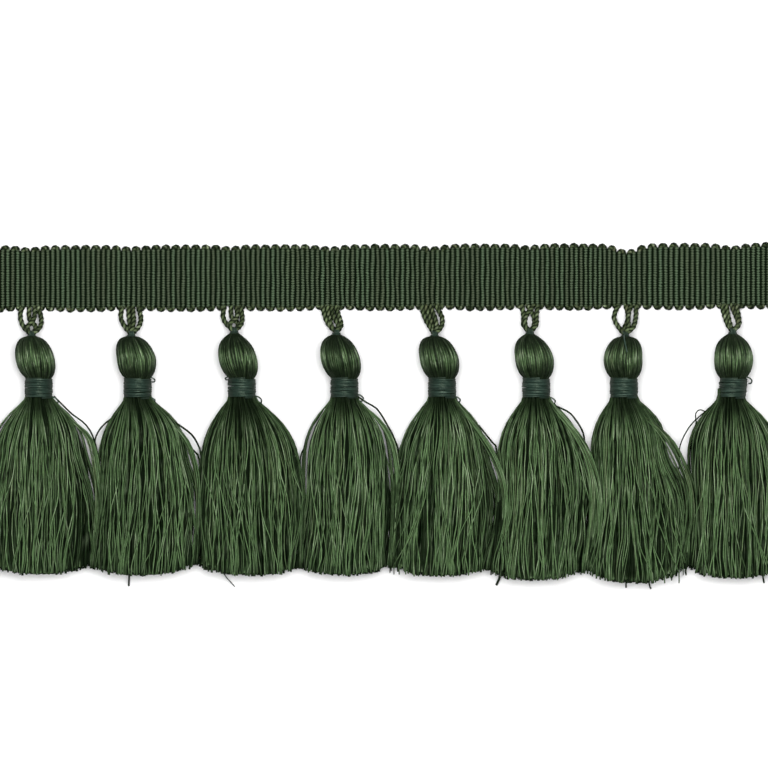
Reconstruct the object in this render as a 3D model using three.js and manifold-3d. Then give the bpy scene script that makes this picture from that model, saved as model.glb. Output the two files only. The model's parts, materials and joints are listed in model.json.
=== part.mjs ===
// Tassel fringe trim: a woven rib heading with a row of tied yarn tassels along its lower edge.
//
// The heading is one stout weft cord laid up and down across the tape and covered by fine warp
// threads, so each pass of the cord stands up as a rib and each turn of it rounds off an edge.
// Under every tassel two neighbouring turns are left long, as a pair of hanging loops. A thread tie
// links the two loop tips to the top of the tassel. The tassel is a hank of yarn folded over its
// tie, bound round the neck to make a ball head, and left loose below as a skirt of locks.
//
// Units are millimetres. The trim lies face up on a surface at z = 0: +X runs along it, +Y across it
// from the skirts to the heading, and +Z up. The origin is the middle of the heading's back face.

import * as THREE from "three";
import { mergeVertices } from "three/addons/utils/BufferGeometryUtils.js";
import Module from "manifold-3d";

const wasm = await Module();
wasm.setup();

const GAP = 0.3; // clearance between neighbouring pieces

// ---- Heading ------------------------------------------------------------------------------------

const RIB_PITCH = 1.25; // one pass of the weft cord to the next
const RIBS_PER_TASSEL = 20;
const WARP_HALF_HEIGHT = 7.2; // the warp threads cover the cord this far each side of the middle
const TURN_LENGTH = 0.95; // how far a bare turn of the cord stands out past the warp
const RIB_TOP = 1.55; // height of a rib's crest above the back face
const RIB_VALLEY = 1.0; // height of the valley between two ribs
const TURN_EDGE = 0.6; // height of the rounded outer rim of a turn
const EDGE_LIP = 0.05; // the warp's lower edge stands out by this much where there is no turn
const HEADING_RISE = 0.7; // the heading climbs by this much from its left end to its right end
const EDGE_SWELL = 0.35; // the lower edge bows down by this much half way between two tassels
const PULL_REACH = 2.6; // how far along the heading a tassel's pull on the edges is felt
const SHIFT_REACH = 9; // how far along the heading a sideways shift of the ribs is felt

// ---- Tassels, from left to right ----------------------------------------------------------------

// pull: how far the tassel draws the heading's upper edge down. shift: how far it draws the ribs
// sideways. knotX, headX, neckX: middle of the tie, the ball head and the bound neck.
const TOPS = [
  { pull: 0.5, shift: 0.0, knotX: -87.1, headX: -86.2, neckX: -85.3 },
  { pull: 0.5, shift: 0.2, knotX: -62.2, headX: -60.9, neckX: -60.6 },
  { pull: 0.4, shift: 0.1, knotX: -36.5, headX: -35.6, neckX: -34.6 },
  { pull: 0.6, shift: -0.1, knotX: -11.0, headX: -10.0, neckX: -9.0 },
  { pull: 0.7, shift: -0.1, knotX: 13.5, headX: 14.7, neckX: 15.4 },
  { pull: 0.5, shift: -0.1, knotX: 37.3, headX: 38.4, neckX: 38.9 },
  { pull: 1.7, shift: -1.0, knotX: 61.1, headX: 60.5, neckX: 60.8 },
  { pull: 0.7, shift: 0.1, knotX: 87.9, headX: 88.2, neckX: 88.0 },
];

// leftX, rightX: sides of the skirt where it opens out. hemLeftX, hemRightX, hemY: sides and mean
// level of its cut ends.
const SKIRTS = [
  { leftX: -98.6, rightX: -71.1, hemLeftX: -98.0, hemRightX: -72.7, hemY: -74.3 },
  { leftX: -70.6, rightX: -45.4, hemLeftX: -72.0, hemRightX: -46.7, hemY: -74.5 },
  { leftX: -44.9, rightX: -20.6, hemLeftX: -46.0, hemRightX: -20.5, hemY: -74.5 },
  { leftX: -20.1, rightX: 4.4, hemLeftX: -19.8, hemRightX: 2.0, hemY: -74.5 },
  { leftX: 4.9, rightX: 28.4, hemLeftX: 2.8, hemRightX: 25.8, hemY: -74.7 },
  { leftX: 28.9, rightX: 50.9, hemLeftX: 26.5, hemRightX: 50.0, hemY: -75.7 },
  { leftX: 51.4, rightX: 74.7, hemLeftX: 50.8, hemRightX: 75.6, hemY: -76.4 },
  { leftX: 75.2, rightX: 100.9, hemLeftX: 76.2, hemRightX: 100.3, hemY: -75.2 },
];
const TASSELS = TOPS.map((top, index) => ({ ...top, ...SKIRTS[index] }));
const RIBS = TASSELS.length * RIBS_PER_TASSEL;
const TASSEL_PITCH = RIBS_PER_TASSEL * RIB_PITCH;
const HEADING_LENGTH = RIBS * RIB_PITCH;

// ---- Hanging loops and ties ---------------------------------------------------------------------

const CORD_CROWN = 0.49; // radius over the crowns of the twisted plies
const CORD_WAIST = 0.36; // radius in the grooves between the plies
const CORD_PLIES = 2;
const CORD_LAY = 3.6; // length of one full turn of the plies
const STEPS_PER_TURN = 6;
const CORD_MIDDLE_Z = 0.78; // height of the cord where it leaves the heading
const INNER_FOOT = 0.68; // how far from the middle the two inner legs leave the heading
const OUTER_FOOT = 1.93;
const KNOT_Y = -13.5; // where the two loop tips meet
const KNOT_Z = 3.9;
const LOOP_CLEARANCE = 0.68; // from the warp's edge to the middle of a loop's cut end
const TIP_APART = 1.66; // one loop's tip lies this far above the other's
const TIE_HALF_HEIGHT = 1.96; // middle line of the tie's ring
const TIE_HALF_WIDTH = 1.32;
const TIE_THREAD = 0.17; // half the thickness of the turns of thread in the ring
const TIE_BREADTH = 0.22; // half the breadth of the turns, laid side by side
const TIE_SEGMENTS = 10;

// The way of a loop from the heading down its outer leg, round the tip and up its inner leg.
// down: share of the way to the tip. foot: share of the way from the tip's x to the foot's x.
// out: how far the leg bows away from its partner, in millimetres. apart: share of TIP_APART by
// which this point of the upper loop lies above the lower loop's.
const OUTER_LEG = [
  { down: 0, foot: 1, out: 0, apart: 0 },
  { down: 0.4, foot: 0.85, out: 0.6, apart: 0.35 },
  { down: 0.79, foot: 0.12, out: 1.38, apart: 0.95 },
];
const INNER_LEG = [
  { down: 0.79, foot: 0, out: -1.4, apart: 1.02 },
  { down: 0.52, foot: 0.45, out: -0.6, apart: 1.02 },
  { down: 0.26, foot: 0.8, out: -0.12, apart: 0.8 },
  { down: 0, foot: 1, out: 0, apart: 0 },
];

// ---- Ball head, neck and binding ----------------------------------------------------------------

const HEAD_TOP_Y = -15.5;
const HEAD_TOP_Z = 4.3;
const HEAD_MIDDLE_Z = 4.76;
const BINDING_TOP_Y = -24.9;
const BINDING_BOTTOM_Y = -30.4;
const NECK_MIDDLE_Z = 4.0;
const NECK_RADIUS = 2.8;
const BINDING_RADIUS = 3.45;
const BINDING_CROWN = 0.15; // the middle turns stand out by this much
const BINDING_SIDES = 12;

// The head's outline: how far down from its top, as a share of the head's height, and the radius.
const HEAD_OUTLINE = [
  { down: 0.0, radius: 0.9 },
  { down: 0.1, radius: 2.7 },
  { down: 0.29, radius: 4.25 },
  { down: 0.56, radius: 4.88 },
  { down: 0.82, radius: 4.5 },
  { down: 0.97, radius: 3.5 },
];

// ---- Skirt --------------------------------------------------------------------------------------

const FLARE_LENGTH = 8.7; // the skirt opens out over about this length below the binding
const ROOT_RADIUS = 3.0; // half width of the yarns as they leave the binding
const ROOT_LENGTH = 3.2; // the locks are fused together for this far below the binding
const SHOULDER = 0.4; // the roots swell out of the neck by this share of their length
const ROOT_SINK = 9; // the skirt's underside comes down to the surface over this length
const SKIRT_THICKNESS = 7.6;
const HEM_THICKNESS = 6.4;
const HEM_ARC = 2.2; // the outer locks end this much higher than the middle ones
const LOCK_UNEVENNESS = 0.7; // longest step between the ends of two locks
const LOCK_STATIONS = [0.18, 0.42, 1]; // shares of the length, closer where the skirt flares
const LOCK_SINK = 0.4; // a lock reaches this far up into the fused roots

// The locks lie in rows, one on another, each lock in the hollow between two below it.
const LOCK_ROWS = [{ locks: 8 }, { locks: 9 }, { locks: 6 }];
const LOCK_PITCH = 0.225; // one lock to the next in a row, as a share of the skirt's half width
const LOCK_FILL = 0.86; // how much of its place in the lattice a lock takes up

// The outline that the rows of locks fill, as the fused roots end. across: share of the half width.
// up: share of the thickness. The left side mirrors the right one.
const ROOT_OUTLINE = [
  { across: 0.3, up: -0.03 },
  { across: 0.84, up: -0.03 },
  { across: 1.03, up: 0.36 },
  { across: 1.03, up: 0.58 },
  { across: 0.62, up: 0.97 },
  { across: 0.2, up: 0.97 },
];
const CORE_SIDES = 2 * ROOT_OUTLINE.length;

// ---- Materials ----------------------------------------------------------------------------------

const fabric = (color, roughness) => new THREE.MeshStandardMaterial({ color, roughness, metalness: 0 });
const HEADING_CLOTH = fabric(0x2f4a2f, 0.75);
const LOOP_CORD = fabric(0x3a4f2c, 0.7);
const TASSEL_YARN = fabric(0x2c5030, 0.5);
const BINDING_THREAD = fabric(0x1f3a38, 0.55);

// ---- Helpers ------------------------------------------------------------------------------------

const bell = (distance, reach) => Math.exp(-((distance / reach) ** 2) / 2);
const mix = THREE.MathUtils.lerp;

// An even spread of numbers from -1 to 1 that depends only on the seed.
const uneven = (seed) => 2 * (THREE.MathUtils.euclideanModulo(seed * 0.61803, 1) - 0.5);

// A closed skin through rings of points, each ring with the same number of points, with flat ends.
// Seen from its start, looking along the skin, each ring runs clockwise.
function skinOfRings(rings, joinEnds = false) {
  const sides = rings[0].length;
  const positions = rings.flat().flatMap((p) => [p.x, p.y, p.z]);
  const index = [];
  const bands = joinEnds ? rings.length : rings.length - 1;
  for (let r = 0; r < bands; r++) {
    const here = r * sides;
    const next = ((r + 1) % rings.length) * sides;
    for (let s = 0; s < sides; s++) {
      const t = (s + 1) % sides;
      index.push(here + s, here + t, next + t, here + s, next + t, next + s);
    }
  }
  if (!joinEnds) {
    const last = (rings.length - 1) * sides;
    for (let s = 1; s < sides - 1; s++) {
      index.push(0, s + 1, s);
      index.push(last, last + s, last + s + 1);
    }
  }
  const geometry = new THREE.BufferGeometry();
  geometry.setAttribute("position", new THREE.Float32BufferAttribute(positions, 3));
  geometry.setIndex(index);
  return geometry;
}

function solidOf(geometry) {
  const bare = new THREE.BufferGeometry().setAttribute("position", geometry.getAttribute("position"));
  if (geometry.index) bare.setIndex(geometry.index);
  const merged = mergeVertices(bare, 1e-4);
  return new wasm.Manifold(
    new wasm.Mesh({
      numProp: 3,
      vertProperties: merged.getAttribute("position").array,
      triVerts: new Uint32Array(merged.index.array),
    }),
  );
}

function geometryOf(solid) {
  const mesh = solid.getMesh();
  const geometry = new THREE.BufferGeometry();
  geometry.setAttribute("position", new THREE.BufferAttribute(new Float32Array(mesh.vertProperties), 3));
  geometry.setIndex(new THREE.BufferAttribute(new Uint32Array(mesh.triVerts), 1));
  geometry.computeVertexNormals();
  return geometry;
}

function namedMesh(name, geometry, material) {
  const mesh = new THREE.Mesh(geometry, material);
  mesh.name = name;
  return mesh;
}

// ---- The heading --------------------------------------------------------------------------------

const tasselMiddle = (index) => (index + 0.5) * TASSEL_PITCH - HEADING_LENGTH / 2;

// Where a point of the even tape lies once the tassels have drawn its ribs sideways.
const drawnX = (x) =>
  TASSELS.reduce((sum, tassel, i) => sum + tassel.shift * bell(x - tasselMiddle(i), SHIFT_REACH), x);

const pullAt = (x) =>
  TASSELS.reduce((sum, tassel, i) => sum + tassel.pull * bell(x - tasselMiddle(i), PULL_REACH), 0);

const middleY = (x) => (HEADING_RISE * x) / HEADING_LENGTH;
const upperWarpY = (x) => middleY(x) + WARP_HALF_HEIGHT - pullAt(x);

function lowerWarpY(x) {
  const phase = (2 * Math.PI * (x - tasselMiddle(0))) / TASSEL_PITCH;
  return middleY(x) - WARP_HALF_HEIGHT - (EDGE_SWELL * (1 - Math.cos(phase))) / 2;
}

// Columns of the tape, two to a rib: a valley on each even column and a crest on each odd one.
// turn says how far a column stands out past the warp at an edge, as a share of TURN_LENGTH.
const TURN_SHAPE = [0, 0.8, 1, 0.8]; // notch, crest, middle of the turn, crest
const COLUMNS_PER_TURN = TURN_SHAPE.length;

function hangsLoops(column) {
  const perTassel = 2 * RIBS_PER_TASSEL;
  const fromMiddle = Math.abs((column % perTassel) - perTassel / 2);
  return fromMiddle < COLUMNS_PER_TURN;
}

function headingGeometry() {
  const columns = 2 * RIBS + 1;
  const rings = [];
  for (let c = 0; c < columns; c++) {
    const flatX = (c * RIB_PITCH) / 2 - HEADING_LENGTH / 2;
    const x = drawnX(flatX);
    const face = c % 2 ? RIB_TOP : RIB_VALLEY;
    const upperTurn = TURN_SHAPE[(c + COLUMNS_PER_TURN / 2) % COLUMNS_PER_TURN] * TURN_LENGTH;
    const lowerTurn = hangsLoops(c) ? 0 : TURN_SHAPE[c % COLUMNS_PER_TURN] * TURN_LENGTH;
    const rim = Math.max(lowerTurn, EDGE_LIP);
    const upper = upperWarpY(flatX);
    const lower = lowerWarpY(flatX);
    rings.push([
      new THREE.Vector3(x, upper + upperTurn, 0),
      new THREE.Vector3(x, upper + upperTurn, TURN_EDGE),
      new THREE.Vector3(x, upper, face),
      new THREE.Vector3(x, lower, face),
      new THREE.Vector3(x, lower - rim, TURN_EDGE),
      new THREE.Vector3(x, lower - rim, 0),
    ]);
  }
  return skinOfRings(rings);
}

// ---- The hanging loops --------------------------------------------------------------------------

// The route of one loop. side is -1 for the left loop, which lies below, and 1 for the right one.
function loopCurve(index, side) {
  const middle = tasselMiddle(index);
  const startY = lowerWarpY(middle) - LOOP_CLEARANCE;
  const tipX = TASSELS[index].knotX;
  const place = (foot) => (leg) => {
    const footX = drawnX(middle) + side * foot;
    return new THREE.Vector3(
      mix(tipX, footX, leg.foot) + side * leg.out,
      mix(startY, KNOT_Y, leg.down),
      mix(CORD_MIDDLE_Z, KNOT_Z, leg.down) + (side * leg.apart * TIP_APART) / 2,
    );
  };
  const tip = new THREE.Vector3(tipX, KNOT_Y, KNOT_Z + (side * TIP_APART) / 2);
  return new THREE.CatmullRomCurve3([
    ...OUTER_LEG.map(place(OUTER_FOOT)),
    tip,
    ...INNER_LEG.map(place(INNER_FOOT)),
  ]);
}

// A twisted cord along a curve: a section with one crown for each ply, turned as it goes.
function twistedCord(curve) {
  const steps = Math.round((curve.getLength() / CORD_LAY) * STEPS_PER_TURN);
  const frames = curve.computeFrenetFrames(steps, false);
  const sides = 2 * CORD_PLIES;
  const rings = [];
  for (let i = 0; i <= steps; i++) {
    const centre = curve.getPointAt(i / steps);
    const turned = (2 * Math.PI * i) / STEPS_PER_TURN;
    const ring = [];
    for (let s = 0; s < sides; s++) {
      const angle = turned + (2 * Math.PI * s) / sides;
      const radius = s % 2 ? CORD_WAIST : CORD_CROWN;
      ring.push(
        centre
          .clone()
          .addScaledVector(frames.normals[i], radius * Math.cos(angle))
          .addScaledVector(frames.binormals[i], radius * Math.sin(angle)),
      );
    }
    rings.push(ring);
  }
  return skinOfRings(rings);
}

// A closed ring of thread that links the loop tips, standing across them.
function tieGeometry(index) {
  const centre = new THREE.Vector3(TASSELS[index].knotX, KNOT_Y, KNOT_Z);
  const rings = [];
  for (let i = 0; i < TIE_SEGMENTS; i++) {
    const around = (2 * Math.PI * i) / TIE_SEGMENTS;
    const corner = (aside, outward) =>
      new THREE.Vector3(
        centre.x - aside * TIE_BREADTH,
        centre.y + (TIE_HALF_WIDTH + outward * TIE_THREAD) * Math.cos(around),
        centre.z + (TIE_HALF_HEIGHT + outward * TIE_THREAD) * Math.sin(around),
      );
    rings.push([corner(-1, 1), corner(1, 1), corner(1, -1), corner(-1, -1)]);
  }
  return skinOfRings(rings, true);
}

// ---- The tassel ---------------------------------------------------------------------------------

const flare = (below) => Math.tanh(below / FLARE_LENGTH);

// The skirt's cross-section at a distance below the binding.
function skirtAt(tassel, below) {
  const share = below / (BINDING_BOTTOM_Y - tassel.hemY);
  const left = mix(tassel.leftX, tassel.hemLeftX, share);
  const right = mix(tassel.rightX, tassel.hemRightX, share);
  return {
    middle: mix(tassel.neckX, (left + right) / 2, flare(below)),
    halfWidth: mix(ROOT_RADIUS, (right - left) / 2, flare(below)),
    thickness: mix(2 * ROOT_RADIUS, mix(SKIRT_THICKNESS, HEM_THICKNESS, share), flare(2 * below)),
    bottom: mix(NECK_MIDDLE_Z - ROOT_RADIUS, 0, Math.min(1, below / ROOT_SINK)),
  };
}

// The outline of the core as pairs across and up, from -1 to 1: a circle for the head and neck.
const ROUND = Array.from({ length: CORE_SIDES }, (_, s) => {
  const angle = (2 * Math.PI * (s - ROOT_OUTLINE.length / 2 + 0.5)) / CORE_SIDES;
  return { across: Math.cos(angle), up: Math.sin(angle) };
});
const FULL = [...ROOT_OUTLINE, ...ROOT_OUTLINE.map(({ across, up }) => ({ across: -across, up })).reverse()];

// The head, the neck under the binding, and the fused roots of the skirt, as one body.
function coreSolid(tassel) {
  const roundRing = (x, y, z, radius) =>
    ROUND.map(({ across, up }) => new THREE.Vector3(x + radius * across, y, z + radius * up));
  const skirtRing = (below, full) => {
    const { middle, halfWidth, thickness, bottom } = skirtAt(tassel, below);
    return FULL.map((point, s) => {
      const across = mix(ROUND[s].across, point.across, full);
      const up = mix(0.5 + ROUND[s].up / 2, point.up, full);
      return new THREE.Vector3(
        middle + halfWidth * across,
        BINDING_BOTTOM_Y - below,
        bottom + thickness * up,
      );
    });
  };
  const headHeight = HEAD_TOP_Y - BINDING_TOP_Y;
  const rings = HEAD_OUTLINE.map(({ down, radius }) => {
    const x =
      down < 0.5
        ? mix(tassel.knotX, tassel.headX, 2 * down)
        : mix(tassel.headX, tassel.neckX, 2 * down - 1);
    const z = mix(HEAD_TOP_Z, HEAD_MIDDLE_Z, Math.min(1, 2 * down));
    return roundRing(x, HEAD_TOP_Y - down * headHeight, z, radius);
  });
  rings.push(
    roundRing(tassel.neckX, BINDING_TOP_Y, NECK_MIDDLE_Z, NECK_RADIUS),
    roundRing(tassel.neckX, BINDING_BOTTOM_Y - GAP, NECK_MIDDLE_Z, NECK_RADIUS),
    skirtRing(SHOULDER * ROOT_LENGTH, SHOULDER),
    skirtRing(ROOT_LENGTH, 1),
  );
  return solidOf(skinOfRings(rings));
}

// One lock of yarn: a four-sided strand from the fused roots to its cut end.
function lockSolid(tassel, row, locks, place, seed) {
  const across = (place - (locks - 1) / 2) * LOCK_PITCH;
  const length =
    BINDING_BOTTOM_Y - tassel.hemY - HEM_ARC * across * across + LOCK_UNEVENNESS * uneven(seed);
  const belows = [ROOT_LENGTH - LOCK_SINK, ROOT_LENGTH, ...LOCK_STATIONS.map((share) => share * length)];
  const rings = belows.map((below) => {
    const { middle, halfWidth, thickness, bottom } = skirtAt(tassel, below);
    const tall = (LOCK_FILL * thickness) / 4;
    const wide = (LOCK_FILL * LOCK_PITCH * halfWidth) / 2;
    const x = middle + across * halfWidth;
    const y = BINDING_BOTTOM_Y - below;
    const z = bottom + tall + (row * thickness) / 4;
    return [
      new THREE.Vector3(x, y, z - tall),
      new THREE.Vector3(x + wide, y, z),
      new THREE.Vector3(x, y, z + tall),
      new THREE.Vector3(x - wide, y, z),
    ];
  });
  return solidOf(skinOfRings(rings));
}

function tasselGeometry(tassel, index) {
  let solid = coreSolid(tassel);
  let seed = 1 + 37 * index;
  LOCK_ROWS.forEach(({ locks }, row) => {
    for (let place = 0; place < locks; place++) {
      solid = solid.add(lockSolid(tassel, row, locks, place, seed));
      seed += 1;
    }
  });
  return geometryOf(solid);
}

// The turns of thread wound round the neck, as one band.
function bindingGeometry(tassel) {
  const outline = [
    [NECK_RADIUS + GAP, BINDING_BOTTOM_Y],
    [BINDING_RADIUS, BINDING_BOTTOM_Y],
    [BINDING_RADIUS + BINDING_CROWN, (BINDING_BOTTOM_Y + BINDING_TOP_Y - GAP) / 2],
    [BINDING_RADIUS, BINDING_TOP_Y - GAP],
    [NECK_RADIUS + GAP, BINDING_TOP_Y - GAP],
    [NECK_RADIUS + GAP, BINDING_BOTTOM_Y],
  ];
  const band = new THREE.LatheGeometry(
    outline.map(([radius, y]) => new THREE.Vector2(radius / Math.cos(Math.PI / BINDING_SIDES), y)),
    BINDING_SIDES,
  );
  return band.translate(tassel.neckX, 0, NECK_MIDDLE_Z);
}

// ---- The trim -----------------------------------------------------------------------------------

const trim = new THREE.Group();
trim.add(namedMesh("heading", headingGeometry(), HEADING_CLOTH));
TASSELS.forEach((tassel, index) => {
  const number = index + 1;
  trim.add(namedMesh(`loop_left_${number}`, twistedCord(loopCurve(index, -1)), LOOP_CORD));
  trim.add(namedMesh(`loop_right_${number}`, twistedCord(loopCurve(index, 1)), LOOP_CORD));
  trim.add(namedMesh(`tie_${number}`, tieGeometry(index), BINDING_THREAD));
  trim.add(namedMesh(`tassel_${number}`, tasselGeometry(tassel, index), TASSEL_YARN));
  trim.add(namedMesh(`binding_${number}`, bindingGeometry(tassel), BINDING_THREAD));
});

export default trim;
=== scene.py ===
# %% [markdown]
# # A tassel fringe trim
#
# A tassel fringe is a trimming that is sewn along the edge of a curtain or a cushion. It has a ribbed
# woven tape, the heading, and a row of tassels that hang from its lower edge on short twisted loops.
# This lesson builds 200 mm of it, lying face up on a table: +X runs along the tape, +Y goes from the
# skirts to the heading, and +Z is up. Lengths are in millimetres until a mesh is made, in metres.

# %% The fixed frame
import json
from collections import namedtuple

import bpy
import numpy as np
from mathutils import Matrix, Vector

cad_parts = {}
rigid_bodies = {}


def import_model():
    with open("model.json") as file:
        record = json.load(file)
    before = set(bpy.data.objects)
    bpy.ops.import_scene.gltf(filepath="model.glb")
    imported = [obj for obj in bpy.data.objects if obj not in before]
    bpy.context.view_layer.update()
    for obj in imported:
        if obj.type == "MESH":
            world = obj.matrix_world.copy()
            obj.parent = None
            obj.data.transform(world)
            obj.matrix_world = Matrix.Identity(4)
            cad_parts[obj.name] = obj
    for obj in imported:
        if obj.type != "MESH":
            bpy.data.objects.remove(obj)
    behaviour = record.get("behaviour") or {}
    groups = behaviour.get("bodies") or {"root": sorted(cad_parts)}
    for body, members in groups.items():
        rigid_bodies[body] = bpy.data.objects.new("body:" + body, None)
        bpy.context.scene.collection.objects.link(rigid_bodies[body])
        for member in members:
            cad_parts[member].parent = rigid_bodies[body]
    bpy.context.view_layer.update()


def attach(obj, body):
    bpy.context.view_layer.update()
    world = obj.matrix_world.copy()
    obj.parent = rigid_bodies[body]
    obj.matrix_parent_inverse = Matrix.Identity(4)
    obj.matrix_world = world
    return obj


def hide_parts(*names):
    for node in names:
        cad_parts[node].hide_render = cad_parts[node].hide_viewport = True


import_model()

MM = 0.001

# %% [markdown]
# ## Camera, table and light
#
# A trimming is shown lying on a white table, from straight above and from far away, so that
# nothing leans. One broad soft lamp overhead lights the crests of the yarns and leaves the gaps
# between them dark; painted shade in the finishes darkens the gaps further. The lamp stands a little
# beyond the heading, so the faint shadows fall towards the skirts. The lamps are hidden from the
# camera, which looks down from above them.

# %% Camera
VIEW_WIDTH = 192.0  # what the picture spans at the table
VIEW_MIDDLE = (0.9, -26.75)
CAMERA_HEIGHT = 3000.0
SENSOR = 36.0

camera_data = bpy.data.cameras.new("camera")
camera_data.sensor_width = SENSOR
camera_data.lens = SENSOR * CAMERA_HEIGHT / VIEW_WIDTH
camera_data.clip_end = 20
camera = bpy.data.objects.new("camera", camera_data)
camera.location = Vector((*VIEW_MIDDLE, CAMERA_HEIGHT)) * MM
bpy.context.collection.objects.link(camera)
bpy.context.scene.camera = camera
bpy.context.scene.view_settings.view_transform = "Standard"

# %% Lamps
Lamp = namedtuple("Lamp", "name place size power")
LAMPS = (
    Lamp("overhead", (0.02, 0.10, 1.06), 0.8, 16.5),
    Lamp("left fill", (-1.1, -0.3, 0.75), 0.8, 1.8),
    Lamp("right fill", (1.1, 0.1, 0.75), 0.8, 1.8),
)
for lamp in LAMPS:
    light = bpy.data.lights.new(lamp.name, "AREA")
    light.shape = "SQUARE"
    light.size = lamp.size
    light.energy = lamp.power
    holder = bpy.data.objects.new(lamp.name, light)
    holder.location = lamp.place
    holder.rotation_euler = (-Vector(lamp.place)).to_track_quat("-Z", "Y").to_euler()
    holder.visible_camera = False
    bpy.context.collection.objects.link(holder)

world = bpy.data.worlds.new("studio")
world.use_nodes = True
background = world.node_tree.nodes["Background"].inputs
background["Color"].default_value = (1.0, 1.0, 1.0, 1)
background["Strength"].default_value = 0.04
bpy.context.scene.world = world


# %% [markdown]
# ## Writing a finish as a sum
#
# A finish is a graph of shader nodes. It is easier to read as a sum, so a small class stands for a
# node's output, and arithmetic on it adds the Math nodes. Every other node comes from one method,
# which takes the node's type, its settings and what goes into its sockets.


# %% A value on a surface
class Value:
    """One number that changes over a surface; sums on it add Math nodes."""

    def __init__(self, graph, socket):
        self.graph, self.socket = graph, socket

    def math(self, operation, *inputs):
        return self.graph.node("ShaderNodeMath", {"operation": operation}, dict(enumerate(inputs)))

    def __add__(self, other):
        return self.math("ADD", self, other)

    def __sub__(self, other):
        return self.math("SUBTRACT", self, other)

    def __rsub__(self, other):
        return self.math("SUBTRACT", other, self)

    def __mul__(self, other):
        return self.math("MULTIPLY", self, other)

    __radd__, __rmul__ = __add__, __mul__

    def sine(self):
        return self.math("SINE", self)

    def cosine(self):
        return self.math("COSINE", self)

    def clamp(self):
        return self.graph.node("ShaderNodeClamp", {}, {"Value": self})

    def between(self, low, high):
        """0 up to low, 1 from high, and a smooth step between them."""
        span = {"Value": self, "From Min": low, "From Max": high}
        return self.graph.node("ShaderNodeMapRange", {"interpolation_type": "SMOOTHSTEP"}, span)


# %% A graph of nodes
class Graph:
    """A node tree that is built from expressions."""

    def __init__(self, tree):
        self.tree = tree

    def node(self, kind, settings=None, sockets=None, output=0):
        made = self.tree.nodes.new(kind)
        for name, setting in (settings or {}).items():
            setattr(made, name, setting)
        for name, given in (sockets or {}).items():
            if isinstance(given, Value):
                self.tree.links.new(given.socket, made.inputs[name])
            else:
                made.inputs[name].default_value = given
        return Value(self, made.outputs[output]) if made.outputs else None

    def read(self, name):
        return self.node("ShaderNodeAttribute", {"attribute_name": name}, output="Fac")

    def blend(self, share, colour_a, colour_b, how="MIX"):
        """colour_a at share 0 and colour_b at share 1."""
        settings = {"data_type": "RGBA", "blend_type": how}
        colours = [c if isinstance(c, Value) else (*c, 1) for c in (colour_a, colour_b)]
        sockets = {0: share, 6: colours[0], 7: colours[1]}
        return self.node("ShaderNodeMix", settings, sockets, output=2)

    def dimmed(self, colour, light):
        return self.blend(1.0, colour, self.place(light, light, light), "MULTIPLY")

    def place(self, x, y, z=0.0):
        return self.node("ShaderNodeCombineXYZ", {}, {"X": x, "Y": y, "Z": z})

    def noise(self, x, y, z=0.0, scale=1.0):
        sockets = {"Vector": self.place(x, y, z), "Scale": scale, "Detail": 2.0}
        return self.node("ShaderNodeTexNoise", {}, sockets)

    def spot(self):
        """The place on the piece, in millimetres along X and Y."""
        where = {"Vector": self.node("ShaderNodeTexCoord", output="Object")}
        return [self.node("ShaderNodeSeparateXYZ", {}, where, output=axis) * (1 / MM) for axis in "XY"]


# %% A finish
def finish(name, colour, roughness, height=None, depth=0.0, **constants):
    """A material from functions that each take the graph and give a value or a plain number."""
    material = bpy.data.materials.new(name)
    material.use_nodes = True
    tree = material.node_tree
    shader = tree.nodes["Principled BSDF"]
    graph = Graph(tree)
    tree.links.new(colour(graph).socket, shader.inputs["Base Color"])
    tree.links.new(roughness(graph).socket, shader.inputs["Roughness"])
    if height:
        bump = graph.node("ShaderNodeBump", {}, {"Height": height(graph), "Distance": depth * MM})
        tree.links.new(bump.socket, shader.inputs["Normal"])
    for socket, number in constants.items():
        shader.inputs[socket.replace("_", " ")].default_value = number
    return material


# %% [markdown]
# ## Table top
#
# A plain pale sheet, larger than the view, with the faintest grain of paper.

# %% Table top
bpy.ops.object.select_all(action="DESELECT")
bpy.ops.mesh.primitive_plane_add(size=4, location=(0, 0, -0.00005))
table_top = bpy.context.object
table_top.name = "table_top"
paper = finish(
    "pale_paper",
    lambda g: g.blend(g.noise(*g.spot(), scale=0.9), (0.93, 0.93, 0.93), (0.95, 0.95, 0.95)),
    lambda g: 0.75 + 0.1 * g.noise(*g.spot(), scale=0.3),
    Specular_IOR_Level=0.1,
)
table_top.data.materials.append(paper)

# %% [markdown]
# ## The plan of the trim
#
# Each tassel hangs a little differently, so its places are kept in a table: how far it draws the
# heading's upper edge down and its ribs sideways, the middles of its tie, ball head and neck, the
# sides and level of its skirt, and how far the skirt leans off its neck. All but this last number
# shape the solids that the scene dresses as well.

# %% Plan of the tassels
Tassel = namedtuple("Tassel", "pull shift knot head neck left right hem_left hem_right hem_y lean")
TASSELS = (
    Tassel(0.5, 0, -87.1, -86.2, -85.3, -98.6, -71.1, -98, -72.7, -74.3, 0),
    Tassel(0.5, 0.2, -62.2, -60.9, -60.6, -70.6, -45.4, -72, -46.7, -74.5, 0),
    Tassel(0.4, 0.1, -36.5, -35.6, -34.6, -44.9, -20.6, -46, -20.5, -74.5, 0),
    Tassel(0.6, -0.1, -11, -10, -9, -20.1, 4.4, -19.8, 2, -74.5, 0),
    Tassel(0.7, -0.1, 13.5, 14.7, 15.4, 4.9, 28.4, 2.8, 25.8, -74.7, 0),
    Tassel(0.5, -0.1, 37.3, 38.4, 38.9, 28.9, 50.9, 26.5, 50, -75.7, 0),
    Tassel(1.7, -1, 61.1, 60.5, 60.8, 51.4, 74.7, 50.8, 75.6, -76.4, 0),
    Tassel(0.7, 0.1, 87.9, 88.2, 88, 75.2, 100.9, 76.2, 100.3, -75.2, -0.5),
)
TASSEL_PITCH = 25.0
RIB_PITCH = 1.25
HEADING_LENGTH = TASSEL_PITCH * len(TASSELS)
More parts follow.
